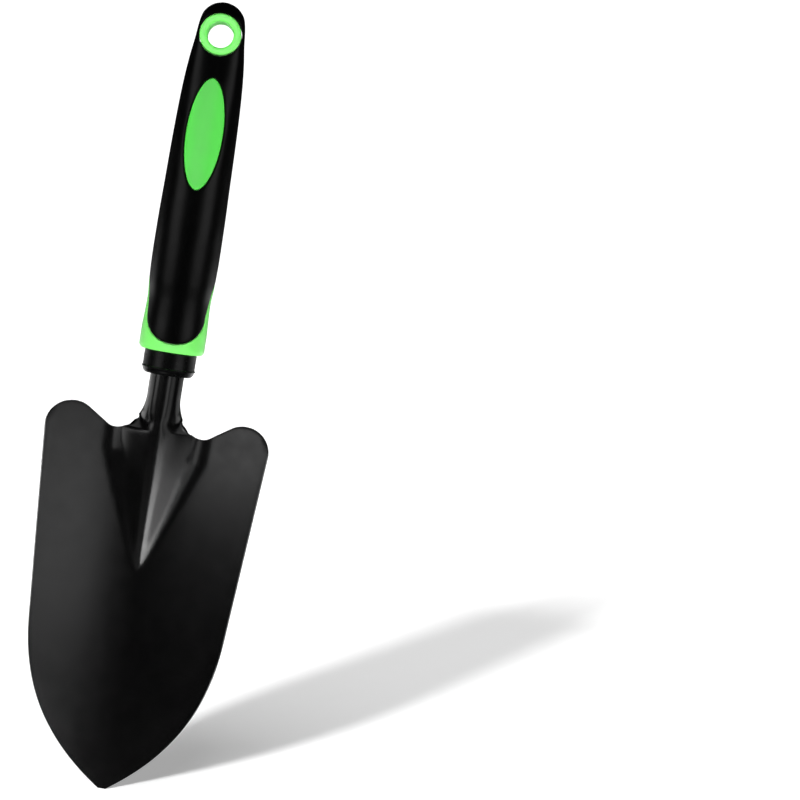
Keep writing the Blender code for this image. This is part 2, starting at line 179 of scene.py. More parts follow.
SINK = 0.5                          # pockets run this far past the soft skin before hollowing
WELD_DISTANCE = 0.002 * MM
INNER_SIDES = 96
INNER_RINGS = 90
COLLAR_FULL = 190.0                 # the handle's bottom is at its full width here
OVERSHOOT = 20 * MM

# Windows in the soft grip, in millimetres
U_BOTTOM = 188.8
U_HALF = 12.0
U_SQUARE = 200.0
U_EXIT_HALF = 13.9
U_EXIT = 217.0
U_FULLNESS = 0.9
U_FLARE_POWER = 1.4
PAD_STATION = 275.2
PAD_LENGTH = 46.5
PAD_WIDTH = 15.9
PAD_POINTING = 1.06
BOSS_RADIUS = 8.8
EDGE_RADIUS = 0.45                  # rounding of every moulded edge
EDGE_ROWS = 4
WALL_LEAN = 0.03                    # how far the foot of a step lies outside its top

# Hanging ring
RING_HALF_DEPTH = 8.5 * MM
RING_ROUND = 1.1 * MM
RING_FLARE = 1.2 * MM
RING_ARC_STEPS = 7
RING_FACETS = 96
FLARE_END = 97
HOLE_RADIUS = 5.4 * MM

# Socket, pin and sleeve
SPIGOT_RADIUS = 9.5 * MM
TANG_END_ROOM = 0.6 * MM
PIN_FACETS = 32
LIP_STATION = 177.7 * MM
SLEEVE_FACETS = 120
SLEEVE_CHAMFER = 0.3 * MM
BEAD_STAND = 0.35 * MM
BEAD_RADIUS = 0.45 * MM
BEAD_RISE = 0.15 * MM
BEAD_HALF_TURN = 75                 # degrees of the bead's round above and below its middle
BEAD_STEPS = 6
NOSE_RADIUS = 2.4 * MM
NOSE_TURN = 62                      # degrees of the round below the bead
NOSE_STEPS = 6

# Materials: a noise's values lie mostly between these
NOISE_LOW = 0.3
NOISE_HIGH = 0.7
PAINTED_LIGHT_FROM = 26 * MM                 # painted light: from this far above and below the pad's middle the green is a paler, lit copy

# Stage
STAGE_RADIUS = 5.0
FLOOR_SIDES = 96
DOME_LEVEL = 4
FLOOR_GLOW = 0.37
BACKDROP_GLOW = 1.2
WORLD_STRENGTH = 0.006
SOFTBOX_DISTANCE = 1.0

# Softboxes: azimuth in degrees, 0 in front and 90 on the right; lowest and highest station and
# width in metres; radiance. The blade and the handle have their own sets. The boxes named back
# and under show in the tool from behind and from above.
Softbox = namedtuple("Softbox", "name azimuth low high width radiance")
BLADE_SOFTBOXES = (
    Softbox("left_key", -32, 0.23, 0.33, 0.50, 2.9),
    Softbox("right_front", 22, 0.01, 0.32, 0.26, 1.4),
    Softbox("right_side", 52, -0.12, 0.50, 0.40, 0.65),
    Softbox("right_high", 35, 0.65, 0.90, 0.55, 12.0),
    Softbox("low_hot", 34, -0.34, -0.19, 0.45, 13.0),
    Softbox("low_right", 58, -0.34, -0.15, 0.34, 2.6),
    Softbox("low_front", -10, -0.34, -0.24, 1.30, 0.5),
    Softbox("left_rim", -60, 0.06, 0.24, 0.35, 2.0),
    Softbox("rear_right", 125, -0.20, 0.12, 0.90, 0.8),
    Softbox("rear_left", -118, -0.20, 0.12, 1.30, 1.7),
    Softbox("back_right", 150, -0.75, -0.25, 1.00, 1.8),
    Softbox("back_left", -150, -0.75, -0.25, 1.00, 0.9),
    Softbox("under_front", -20, -1.60, -0.75, 1.00, 1.2),
    Softbox("top_left", -60, 0.95, 2.40, 1.60, 0.7),
    Softbox("top_right", 60, 0.95, 2.40, 1.60, 0.7),
)
HANDLE_SOFTBOXES = (
    Softbox("strip_right", 47, 0.05, 0.75, 0.60, 0.60),
    Softbox("strip_left", -47, 0.05, 0.75, 0.60, 0.60),
    Softbox("edge_right", 130, -0.20, 0.12, 0.90, 1.0),
    Softbox("edge_left", -130, -0.20, 0.12, 0.90, 1.0),
    Softbox("handle_back_right", 153, -0.45, 0.08, 0.60, 0.9),
    Softbox("handle_back_left", -153, -0.45, 0.08, 0.60, 0.9),
    Softbox("handle_under", -25, -1.60, -0.75, 0.70, 0.8),
)
# Suns: azimuth and elevation in degrees, strength, and angular size in degrees
Sun = namedtuple("Sun", "name azimuth elevation strength angle")
FLOOR_KEY = Sun("floor_key", -24.5, 12, 11.5, 4.5)
FLOOR_FILL = Sun("floor_fill", -20, 40, 2.2, 40)
FILL = Sun("fill", -10, 15, 1.6, 40)
GREEN_FILL = Sun("green_fill", 20, -15, 1.3, 60)

# Camera
SENSOR = 36.0
CAMERA_DISTANCE = 0.85
CAMERA_AZIMUTH = 2.0
CAMERA_STATION = 240 * MM
FRAME_WIDTH = 334.1 * MM            # width of the frame at the tool
AIM_X = 97.5 * MM
AIM_STATION = 179.9 * MM
LEAN = 9.42                         # degrees
CLIP_START = 0.1


# ---------------------------------------------------------------- mesh helpers

def mesh_object(name, vertices, faces):
    """An object from coordinates in metres, with its faces pointing out."""
    mesh = bpy.data.meshes.new(name)
    mesh.from_pydata([tuple(v) for v in vertices], [], [tuple(f) for f in faces])
    bm = bmesh.new()
    bm.from_mesh(mesh)
    bmesh.ops.recalc_face_normals(bm, faces=bm.faces)
    bm.to_mesh(mesh)
    bm.free()
    obj = bpy.data.objects.new(name, mesh)
    bpy.context.scene.collection.objects.link(obj)
    return obj


def quads(low, high):
    """Faces between two rows of vertex numbers."""
    return [(low[j], low[j + 1], high[j + 1], high[j]) for j in range(len(low) - 1)]


def shade_round(obj):
    """Shades the object smooth, but keeps its sharp edges sharp."""
    obj.data.shade_smooth()
    obj.data.set_sharp_from_angle(angle=SHARP_ANGLE)


def boolean(obj, other, operation):
    """Joins or cuts with a helper, applies it, and removes the helper."""
    modifier = obj.modifiers.new(operation.lower(), 'BOOLEAN')
    modifier.operation = operation
    modifier.solver = 'EXACT'
    modifier.object = other
    bake(obj)
    bpy.data.objects.remove(other)


def bake(obj):
    """Replaces the object's mesh by its evaluated one, without modifiers."""
    bpy.context.view_layer.update()
    depsgraph = bpy.context.evaluated_depsgraph_get()
    mesh = bpy.data.meshes.new_from_object(obj.evaluated_get(depsgraph))
    obj.modifiers.clear()
    obj.data = mesh


def turned(name, profile, sides, axis='Z'):
    """A turned solid from (radius, height) pairs that run from the axis back to the axis, or a
    turned ring when the profile is a closed loop off the axis."""
    vertices = []
    rings = []
    for radius, height in profile:
        count = 1 if radius == 0.0 else sides
        rings.append(list(range(len(vertices), len(vertices) + count)))
        for j in range(count):
            angle = 2 * math.pi * j / sides
            point = Vector((radius * math.cos(angle), radius * math.sin(angle), height))
            vertices.append(point.xzy if axis == 'Y' else point)
    faces = []
    solid = len(rings[0]) == 1
    for k in range(len(rings) - solid):
        faces += ring_faces(rings[k], rings[(k + 1) % len(rings)])
    return mesh_object(name, vertices, faces)


def ring_faces(low, high):
    """Faces between two closed rings, where either may be a single point."""
    if len(low) == 1:
        return [(low[0], high[j], high[(j + 1) % len(high)]) for j in range(len(high))]
    if len(high) == 1:
        return [(high[0], low[j], low[(j + 1) % len(low)]) for j in range(len(low))]
    return quads(low + low[:1], high + high[:1])


def arc(centre, radius, start, end, steps):
    """Points of an arc in a profile, with its angles in degrees."""
    angles = np.radians(np.linspace(start, end, steps + 1))
    return [(centre[0] + radius * math.cos(a), centre[1] + radius * math.sin(a)) for a in angles]


# ---------------------------------------------------------------- blade

def bezier(points, t):
    """A point on a cubic Bezier curve, for t from 0 to 1."""
    a, b, c, d = (np.array(point) for point in points)
    return a * (1 - t) ** 3 + 3 * b * t * (1 - t) ** 2 + 3 * c * t * t * (1 - t) + d * t ** 3


def side_slope():
    """Half width gained for each unit of station along the straight side."""
    return (SHOULDER_HALF - SIDE_HALF) / (SHOULDER_STATION - SIDE_STATION)


def outer_side(station):
    """The outer edge beside and above the straight side, up to the shoulder's round."""
    if station <= SHOULDER_STATION:
        return (SIDE_HALF + side_slope() * (station - SIDE_STATION), station)
    rise = station - SHOULDER_STATION
    return (SHOULDER_HALF - SHOULDER_RADIUS
            + math.sqrt(SHOULDER_RADIUS ** 2 - rise * rise), station)


def point_curve(t):
    """The curved lower edge, from the point (t = 0) to where the side is straight (t = 1)."""
    lean = math.atan(side_slope())
    start = (POINT_BLUNT, 0.0)
    end = (SIDE_HALF, SIDE_STATION)
    leave = (start[0] + POINT_REACH * math.sin(POINT_HALF_ANGLE),
             start[1] + POINT_REACH * math.cos(POINT_HALF_ANGLE))
    arrive = (end[0] - SIDE_REACH * math.sin(lean), end[1] - SIDE_REACH * math.cos(lean))
    return bezier((start, leave, arrive, end), t)


def shoulder_top(t):
    """The top edge of the right shoulder, from the notch (t = 0) to the outer corner (t = 1)."""
    centre_x = SHOULDER_HALF - SHOULDER_RADIUS
    notch_end = (NOTCH_HALF + NOTCH_RADIUS * math.sin(NOTCH_SLOPE),
                 NOTCH_STATION + NOTCH_RADIUS * (1 - math.cos(NOTCH_SLOPE)))
    crown_start = (centre_x - SHOULDER_RADIUS * math.sin(NOTCH_SLOPE),
                   SHOULDER_STATION + SHOULDER_RADIUS * math.cos(NOTCH_SLOPE))
    run = math.dist(notch_end, crown_start)
    inner = math.dist(notch_edge(STRIP_TURN), (NOTCH_HALF, NOTCH_STATION))
    bend = NOTCH_RADIUS * NOTCH_SLOPE
    crown = SHOULDER_RADIUS * (NOTCH_SLOPE + CORNER_TURN)
    along = t * (inner + bend + run + crown) - inner
    if along < 0.0:
        return notch_edge(STRIP_TURN * -along / inner)
    if along < bend:
        angle = along / NOTCH_RADIUS
        return (NOTCH_HALF + NOTCH_RADIUS * math.sin(angle),
                NOTCH_STATION + NOTCH_RADIUS * (1 - math.cos(angle)))
    if along < bend + run:
        part = (along - bend) / run
        return (notch_end[0] + part * (crown_start[0] - notch_end[0]),
                notch_end[1] + part * (crown_start[1] - notch_end[1]))
    angle = (along - bend - run) / SHOULDER_RADIUS - NOTCH_SLOPE
    return (centre_x + SHOULDER_RADIUS * math.sin(angle),
            SHOULDER_STATION + SHOULDER_RADIUS * math.cos(angle))


def rib_height(x, station):
    """Height of the central rib above the dished sheet."""
    if station <= RIB_END:
        return 0.0
    half = min(RIB_WIDENING * (station - RIB_FADE), RIB_HALF_MAX)
    across = min(abs(x) / half, 1.0)
    height = RIB_HEIGHT * (station - RIB_END) / (NOTCH_STATION - RIB_END)
    return height * (1 - across ** RIB_CREST_POWER) ** RIB_FLANK_POWER


def sheet_depth(x, station):
    """World Y of the middle of the sheet, over the blade and the foot of the neck."""
    below = NOTCH_STATION - station
    valley = BASE_DEPTH - CRANK * below + BOW * below * below / (2 * NOTCH_STATION)
    dish = DISH_ANGLE * SHOULDER_HALF / DISH_POWER * (abs(x) / SHOULDER_HALF) ** DISH_POWER
    return valley - dish - rib_height(x, station)


def ease(part):
    """A smooth rise from 0 to 1."""
    return part * part * (3 - 2 * part)


def notch_edge(turn):
    """The neck's edge of the notch, a quarter ellipse from its bottom (0) up to the tube."""
    return (NOTCH_HALF - (NOTCH_HALF - TUBE_RADIUS) * math.sin(turn),
            NOTCH_STATION + (NECK_STATION - NOTCH_STATION) * (1 - math.cos(turn)))


def neck_point(across, turn):
    """A point of the rolling neck: across runs from -1 to 1 between the edges of the strip.

    The section starts as the blade's beside the notch, bends into an arc and closes to a tube.
    """
    reach, station = notch_edge(turn)
    rise = (station - NOTCH_STATION) / (NECK_STATION - NOTCH_STATION)
    closed = math.pi - SEAM_GAP / TUBE_RADIUS / 2
    half_angle = OPEN_ANGLE + (closed - OPEN_ANGLE) * ease(rise)
    radius = reach / math.sin(min(half_angle, math.pi / 2))
    bent = ease(min(rise / BENT_AT, 1.0))
    angle = across * half_angle
    x = (1 - bent) * across * reach + bent * radius * math.sin(angle)
    y = ((1 - bent) * sheet_depth(across * reach, notch_edge(STRIP_TURN)[1])
         + bent * (radius * (1 - math.cos(angle)) - TUBE_RADIUS))
    return (x, y, up(station))


def tube_point(across, station):
    """A point of the closed tube and the tang above the neck."""
    x, y, _ = neck_point(across, math.pi / 2)
    return (x, y, up(station))


def blade_rows():
    """Rows of (x, station) points, each from the left edge of the blade to the right edge."""
    strip_half, strip_station = notch_edge(STRIP_TURN)
    strip = strip_half / SHOULDER_HALF
    fractions = [strip * j / STRIP_CELLS for j in range(STRIP_CELLS)]
    fractions += [strip + (1 - strip) * j / SHOULDER_CELLS for j in range(SHOULDER_CELLS + 1)]

    edge = [point_curve((i / POINT_ROWS) ** POINT_SPACING) for i in range(POINT_ROWS)]
    for i in range(SIDE_ROWS + 1):
        edge.append(outer_side(SIDE_STATION + (TOP_ROWS_STATION - SIDE_STATION) * i / SIDE_ROWS))
    right = [[(fraction * x, station) for fraction in fractions] for x, station in edge]

    base = right[-1]
    tops = [(fraction * SHOULDER_HALF, strip_station) for fraction in fractions[:STRIP_CELLS]]
    tops += [shoulder_top(j / SHOULDER_CELLS) for j in range(SHOULDER_CELLS + 1)]
    for i in range(1, TOP_ROWS + 1):
        part = i / TOP_ROWS
        row = [(low[0] + part * (high[0] - low[0]), low[1] + part * (high[1] - low[1]))
               for low, high in zip(base, tops)]
        row[-1] = outer_side(row[-1][1])
        right.append(row)
    return [[(-x, station) for x, station in reversed(row[1:])] + row for row in right]


def even_out(vertices, rows):
    """Evens out the depth along the neck's strip, where the blade runs into the neck."""
    for j in range(len(rows[0])):
        fade = 1 - abs(2 * j / (len(rows[0]) - 1) - 1) ** BLEND_POWER
        column = np.array([vertices[row[j]] for row in rows])
        along = np.concatenate(([0.0], np.cumsum(np.hypot(*np.diff(column[:, ::2], axis=0).T))))
        spacing = np.gradient(along)
        weights = np.exp(-((along[:, None] - along) / BLEND_REACH) ** 2 / 2) * spacing
        even = weights @ column[:, 1] / weights.sum(axis=1)
        place = (column[:, 2] - up(BLEND_LOW)) / (BLEND_HIGH - BLEND_LOW)
        blend = fade * ease(np.clip(2 - 4 * np.abs(place - 0.5), 0.0, 1.0))
        for row, x, old, new, z, part in zip(rows, column[:, 0], column[:, 1], even,
                                             column[:, 2], blend):
            vertices[row[j]] = (x, old + part * (new - old), z)


def make_blade():
    """The pressed sheet with its rolled neck, its cut edge rounded under the coating."""
    vertices = []
    rows = []
    for row in blade_rows():
        rows.append(list(range(len(vertices), len(vertices) + len(row))))
        vertices += [(x, sheet_depth(x, station), up(station)) for x, station in row]
    faces = []
    for low, high in zip(rows, rows[1:]):
        faces += quads(low, high)
    middle = len(rows[0]) // 2
    strip = [row[middle - STRIP_CELLS:middle + STRIP_CELLS + 1] for row in rows[-TOP_ROWS:]]
    low = strip[-1]
    across = [j / STRIP_CELLS for j in range(-STRIP_CELLS, STRIP_CELLS + 1)]
    for i in range(1, NECK_ROWS + 2):
        high = list(range(len(vertices), len(vertices) + len(low)))
        turn = STRIP_TURN + (math.pi / 2 - STRIP_TURN) * i / NECK_ROWS
        if i <= NECK_ROWS:
            vertices += [neck_point(part, turn) for part in across]
        else:
            vertices += [tube_point(part, TANG_TOP - up(0.0)) for part in across]
        faces += quads(low, high)
        strip.append(high)
        low = high
    even_out(vertices, strip)
    blade = mesh_object("blade_coated", vertices, faces)
    thicken = blade.modifiers.new("sheet", 'SOLIDIFY')
    thicken.thickness = SHEET
    thicken.offset = 0.0
    soften = blade.modifiers.new("rounded_edge", 'BEVEL')
    soften.width = EDGE_ROUND
    soften.segments = EDGE_STEPS
    soften.limit_method = 'ANGLE'
    soften.angle_limit = EDGE_ANGLE
    bake(blade)
    shade_round(blade)
    return blade


# ---------------------------------------------------------------- handle's skin

# An outline on the unrolled skin. Its points are sunk by inset towards the handle's axis, or by
# sink straight back from the front or the back of the handle, in millimetres.
Row = namedtuple("Row", "outline inset closed sink", defaults=(0.0,))


def smooth_profile():
    """The handle's sections along its length, joined by a curve that never overshoots them.

    Column 0 is the distance along the profile, and the others are as in HANDLE_RINGS.
    """
    steps = np.diff(HANDLE_RINGS[:, :2], axis=0)
    knots = np.concatenate(([0.0], np.cumsum(np.hypot(steps[:, 0], steps[:, 1]))))
    width = np.diff(knots)
    along = np.linspace(0.0, knots[-1], PROFILE_STEPS)
    columns = [along]
    for values in HANDLE_RINGS.T:
        rise = np.diff(values) / width
        slope = np.zeros(len(values))
        slope[0] = rise[0]
        slope[-1] = rise[-1]
        same_way = rise[:-1] * rise[1:] > 0
        before = 2 * width[1:] + width[:-1]
        after = width[1:] + 2 * width[:-1]
        with np.errstate(divide='ignore', invalid='ignore'):
            mean = (before + after) / (before / rise[:-1] + after / rise[1:])
        slope[1:-1] = np.where(same_way, mean, 0.0)
        k = np.clip(np.searchsorted(knots, along, side='right') - 1, 0, len(width) - 1)
        t = (along - knots[k]) / width[k]
        columns.append(values[k] * (2 * t ** 3 - 3 * t ** 2 + 1)
                       + slope[k] * width[k] * (t ** 3 - 2 * t ** 2 + t)
                       + values[k + 1] * (3 * t ** 2 - 2 * t ** 3)
                       + slope[k + 1] * width[k] * (t ** 3 - t ** 2))
    return np.array(columns)


PROFILE = smooth_profile()


def along_at(station):
    """Distance along the profile at a station in millimetres."""
    return np.interp(station, PROFILE[1], PROFILE[0])


def skin_point(angle, along, inset):
    """Points on the handle, in metres: angle is 90 degrees at the front, inset in millimetres."""
    station, half_x, half_y, forward, square = (
        np.interp(along, PROFILE[0], column) for column in PROFILE[1:])
    half_x = np.maximum(half_x - inset, SMALLEST)
    half_y = np.maximum(half_y - inset, SMALLEST)
    reach = ((np.abs(np.cos(angle)) / half_x) ** square
             + (np.abs(np.sin(angle)) / half_y) ** square) ** (-1 / square)
    hole = HOLE_STATION / MM
    lowering = inset * np.maximum((station - hole) / (HANDLE_RINGS[-1, 0] - hole), 0.0)
    return np.stack((reach * np.cos(angle) * MM,
                     (-reach * np.sin(angle) - forward) * MM,
                     up((station - lowering) * MM)), axis=-1)


def unroll(x, station):
    """Front-half skin coordinates of points given in the front view, in millimetres."""
    along = along_at(station)
    half_x, half_y, square = (np.interp(along, PROFILE[0], PROFILE[i]) for i in (2, 3, 5))
    across = np.clip(np.abs(x) / half_x, 0.0, 1.0)
    y = half_y * (1 - across ** square) ** (1 / square)
    return np.stack((np.arctan2(y, x) * MEAN_RADIUS, along), axis=-1)


def resample(points, spacing, closed=False):
    """The same polyline with evenly spaced points."""
    if closed:
        points = np.vstack((points, points[:1]))
    lengths = np.concatenate(([0.0], np.cumsum(np.hypot(*np.diff(points, axis=0).T))))
    count = max(round(lengths[-1] / spacing), 2)
    places = np.linspace(0.0, lengths[-1], count + 1)
    if closed:
        places = places[:-1]
    return np.stack([np.interp(places, lengths, column) for column in points.T], axis=-1)


def shifted(points, distance, closed):
    """A polyline moved to its left by a distance."""
    if closed:
        along = np.roll(points, -1, axis=0) - np.roll(points, 1, axis=0)
    else:
        along = np.gradient(points, axis=0)
        along[0, 1] = 0.0
        along[-1, 1] = 0.0
    along /= np.hypot(*along.T)[:, None]
    return points + distance * np.stack((-along[:, 1], along[:, 0]), axis=-1)


def u_curve():
    """The lower edge of the soft grip on the unrolled skin, from angle 0 round to 360 degrees."""
    turn = np.linspace(0.0, math.pi / 2, OUTLINE_STEPS)
    x = U_HALF * np.sin(turn) ** U_FULLNESS
    station = U_SQUARE - (U_SQUARE - U_BOTTOM) * np.cos(turn) ** U_FULLNESS
    rising = np.linspace(U_SQUARE, U_EXIT, 2 * OUTLINE_STEPS)[1:]
    x = np.append(x, U_HALF + (U_EXIT_HALF - U_HALF)
                  * ((rising - U_SQUARE) / (U_EXIT - U_SQUARE)) ** U_FLARE_POWER)
    station = np.append(station, rising)
    half_x = np.interp(along_at(station), PROFILE[0], PROFILE[2])
    ends = int(np.argmax(x >= half_x)) + 1
    quarter = unroll(x[:ends], station[:ends])[::-1]
    quarter = resample(quarter, CELL)
    half = np.vstack((quarter, mirrored(quarter, math.pi / 2)[1:]))
    return np.vstack((half, mirrored(half, math.pi)[1:]))


def mirrored(points, angle):
    """The polyline's mirror image about an angle, run in the same direction."""
    flipped = points[::-1].copy()
    flipped[:, 0] = 2 * angle * MEAN_RADIUS - flipped[:, 0]
    return flipped


def window(half_width, half_height, station, pointing=1.0):
    """A round window's outline on the front of the unrolled skin."""
    turn = np.linspace(0.0, 2 * math.pi, ROUND_STEPS + 1)[:-1]
    x = np.sign(np.cos(turn)) * np.abs(np.cos(turn)) ** pointing * half_width
    outline = unroll(x, station + np.sin(turn) * half_height)
    return resample(outline, CELL, closed=True)


def ring_rows(back):
    """The rounded edge of the hole for the hanging ring, exact in the front view."""
    rows = []
    turn = np.linspace(0.0, 2 * math.pi, RING_SIDES + 1)[:-1]
    for i in range(EDGE_ROWS + 1):
        angle = math.pi / 2 * i / EDGE_ROWS
        radius = BOSS_RADIUS + EDGE_RADIUS * (1 - math.cos(angle))
        outline = unroll(radius * np.cos(turn), HOLE_STATION / MM + radius * np.sin(turn))
        if back:
            outline[:, 0] = SKIN_WIDTH - outline[:, 0]
        rows.append(Row(outline, 0.0, True, EDGE_RADIUS * (1 - math.sin(angle))))
    return rows


def rounded_rows(curve, side, closed):
    """Rows beside an outline with the inset that rounds the edge: side is 1 left and -1 right."""
    rows = []
    for i in range(EDGE_ROWS + 1):
        angle = math.pi / 2 * i / EDGE_ROWS
        distance = EDGE_RADIUS * (1 - math.cos(angle))
        rows.append(Row(shifted(curve, side * distance, closed),
                        EDGE_RADIUS * (1 - math.sin(angle)), closed))
    return rows


def inside(points, outline):
    """Which points lie inside a closed outline."""
    x, y = points.T
    result = np.zeros(len(points), bool)
    for a, b in zip(outline, np.roll(outline, -1, axis=0)):
        crossing = (a[1] > y) != (b[1] > y)
        with np.errstate(divide='ignore', invalid='ignore'):
            edge_x = a[0] + (y - a[1]) * (b[0] - a[0]) / (b[1] - a[1])
        result ^= crossing & (x < edge_x)
    return result


def above(points, curve):
    """Which points lie above a curve that runs across the unrolled skin."""
    return points[:, 1] > np.interp(points[:, 0], curve[:, 0], curve[:, 1])


def skin_patch(rows, keep):
    """Triangles over the unrolled skin: points, the inset that a row gave each, and triangles.

    The triangles keep the edges of the rows. keep(points) says which places belong to the patch.
    A point that no row gave has the inset NaN.
    """
    points = np.vstack([row.outline for row in rows])
    insets = [np.full(len(row.outline), row.inset) for row in rows]
    edges = []
    first = 0
    for row in rows:
        count = len(row.outline)
        edges += [(first + j, first + j + 1) for j in range(count - 1)]
        if row.closed:
            edges.append((first + count - 1, first))
        first += count
    free = free_points(points, keep)
    insets.append(np.full(len(free), np.nan))
    points = np.vstack((points, free))
    result = delaunay_2d_cdt([Vector(point) for point in points], edges, [], 0,
                               MERGE_DISTANCE)
    if len(result[0]) != len(points):
        raise ValueError("two points of a skin patch coincide")
    triangles = np.array(result[2])
    triangles = triangles[keep(points[triangles].mean(axis=1))]
    return points, np.concatenate(insets), triangles


def free_points(fixed, keep):
    """Staggered points over the skin, clear of the fixed points and alike at the two seams."""
    low, high = fixed[:, 1].min(), fixed[:, 1].max()
    count = round(SKIN_WIDTH / CELL)
    step = SKIN_WIDTH / count
    rows = round((high - low) / CELL / math.sin(math.pi / 3))
    found = []
    for k in range(1, rows):
        across = np.arange(1, count) * step if k % 2 else (np.arange(count) + 0.5) * step
        if k % 2:
            across = np.concatenate(([0.0], across, [SKIN_WIDTH]))
        line = np.stack((across, np.full(len(across), low + (high - low) * k / rows)), axis=-1)
        apart = np.hypot(*(line[:, None, :] - fixed[None, :, :]).transpose(2, 0, 1)).min(axis=1)
        clear = apart > CLEARANCE * CELL
        if k % 2:
            clear[0] = clear[-1] = clear[0] and clear[-1]
        found.append(line[clear])
    found = np.vstack(found)
    return found[keep(found)]


def relief_solid(name, rows, region, keep, bottom_inset, top_inset, tube=None):
    """A closed solid with the handle's skin, sunk by each point's inset in millimetres.

    region(points) gives the inset away from the rows. tube is a pair of row numbers whose loops
    are joined by a straight wall.
    """
    count = round(SKIN_WIDTH / CELL)
    across = np.linspace(0.0, SKIN_WIDTH, count + 1)
    angles = across[:-1] / MEAN_RADIUS
    cap_start = along_at(CAP_STATION)
    for along, inset in ((0.0, bottom_inset), (cap_start, top_inset)):
        line = np.stack((across, np.full(count + 1, along)), axis=-1)
        rows = [*rows, Row(line, inset, False)]
    points, insets, triangles = skin_patch(rows, keep)
    insets = np.where(np.isnan(insets), region(points), insets)
    vertices = skin_point(points[:, 0] / MEAN_RADIUS, points[:, 1], insets)
    sinks = np.concatenate([np.full(len(row.outline), row.sink) for row in rows])
    vertices[:len(sinks), 1] -= np.sign(vertices[:len(sinks), 1]) * sinks * MM
    vertices = list(vertices)
    faces = [tuple(int(j) for j in triangle) for triangle in triangles]
    starts = np.concatenate(([0], np.cumsum([len(row.outline) for row in rows])))
    if tube:
        faces += ring_faces(*(list(range(starts[k], starts[k + 1])) for k in tube))
    low = list(range(starts[-2], starts[-2] + count))
    for along in np.linspace(cap_start, PROFILE[0, -1], CAP_RINGS + 1)[1:]:
        high = list(range(len(vertices), len(vertices) + count))
        vertices += list(skin_point(angles, np.full(count, along), top_inset))
        faces += ring_faces(low, high)
        low = high
    bottom = list(range(starts[-3], starts[-3] + count))
    for ring in (low, bottom):
        faces += ring_faces(ring, [len(vertices)])
        vertices.append(np.mean([vertices[j] for j in ring], axis=0))
    obj = mesh_object(name, vertices, faces)
    weld(obj)
    return obj


def weld(obj):
    """Joins the skin's two seams and turns every face outwards."""
    bm = bmesh.new()
    bm.from_mesh(obj.data)
    bmesh.ops.remove_doubles(bm, verts=bm.verts, dist=WELD_DISTANCE)
    bmesh.ops.recalc_face_normals(bm, faces=bm.faces)
    bm.to_mesh(obj.data)
    bm.free()


def inner_form(name, inset):
    """A plain solid of the handle shrunk by an inset, run on below the handle's bottom."""
    angles = np.arange(INNER_SIDES) * 2 * math.pi / INNER_SIDES
    vertices = []
    rings = []
    for k, along in enumerate(np.linspace(0.0, PROFILE[0, -1], INNER_RINGS)):
        if k == 0:
            along = along_at(COLLAR_FULL)
        ring = skin_point(angles, np.full(INNER_SIDES, along), inset)
        if k == 0:
            ring[:, 2] = up(HANDLE_RINGS[0, 0] * MM) - OVERSHOOT
        rings.append(list(range(len(vertices), len(vertices) + INNER_SIDES)))
        vertices += list(ring)
    faces = []
    for low, high in zip(rings, rings[1:]):
        faces += ring_faces(low, high)
    for ring in (rings[0], rings[-1]):
        faces += ring_faces(ring, [len(vertices)])
        vertices.append(np.mean([vertices[j] for j in ring], axis=0))
    return mesh_object(name, vertices, faces)


def make_grip():
    """The soft skin: windows with rounded edges for the thumb pad, the ring and the collar."""
    lower = u_curve()
    pad = window(PAD_WIDTH / 2, PAD_LENGTH / 2, PAD_STATION, PAD_POINTING)
    fronts, backs = ring_rows(back=False), ring_rows(back=True)
    deep = SKIN + SINK
    rows = [*fronts, *backs,
            *rounded_rows(lower, 1, False), Row(shifted(lower, -WALL_LEAN, False), deep, False),
            *rounded_rows(pad, 1, True), Row(shifted(pad, -WALL_LEAN, True), deep, True)]

    def keep(points):
        return ~inside(points, fronts[0].outline) & ~inside(points, backs[0].outline)

    def region(points):
        return np.where(above(points, lower) & ~inside(points, pad), 0.0, deep)

    grip = relief_solid("grip_soft", rows, region, keep, deep, 0.0, tube=(0, len(fronts)))
    boolean(grip, inner_form("grip_inside", SKIN), 'DIFFERENCE')
    shade_round(grip)
    return grip


def make_core():
    """The hard inner handle: collar, thumb pad and hanging ring stand out from it."""
    lower = shifted(u_curve(), -GAP / MM, False)
    pad = window(PAD_WIDTH / 2 - GAP / MM, PAD_LENGTH / 2 - GAP / MM, PAD_STATION, PAD_POINTING)
    deep = SKIN + GAP / MM
    rows = [*rounded_rows(lower, -1, False), Row(shifted(lower, WALL_LEAN, False), deep, False),
            *rounded_rows(pad, -1, True), Row(shifted(pad, WALL_LEAN, True), deep, True)]

    def keep(points):
        return np.ones(len(points), bool)

    def region(points):
        return np.where(above(points, lower) & ~inside(points, pad), deep, 0.0)

    core = relief_solid("core_green", rows, region, keep, 0.0, deep)
    boolean(core, ring_boss(), 'UNION')
    boolean(core, hole_cutter(), 'DIFFERENCE')
    boolean(core, socket_cutter(), 'DIFFERENCE')
    boolean(core, pin_cutter(), 'DIFFERENCE')
    shade_round(core)
    return core


def ring_boss():
    """The ring's outer shape before its hole, a short round bar on the Y axis."""
    radius = BOSS_RADIUS * MM - GAP
    half = RING_HALF_DEPTH
    corner = (radius - RING_ROUND, half - RING_ROUND)
    upper = arc(corner, RING_ROUND, 90, 0, RING_ARC_STEPS)
    profile = [(0.0, half), *upper, *((r, -h) for r, h in reversed(upper)), (0.0, -half)]
    return turned("ring_boss", profile, RING_FACETS, axis='Y')


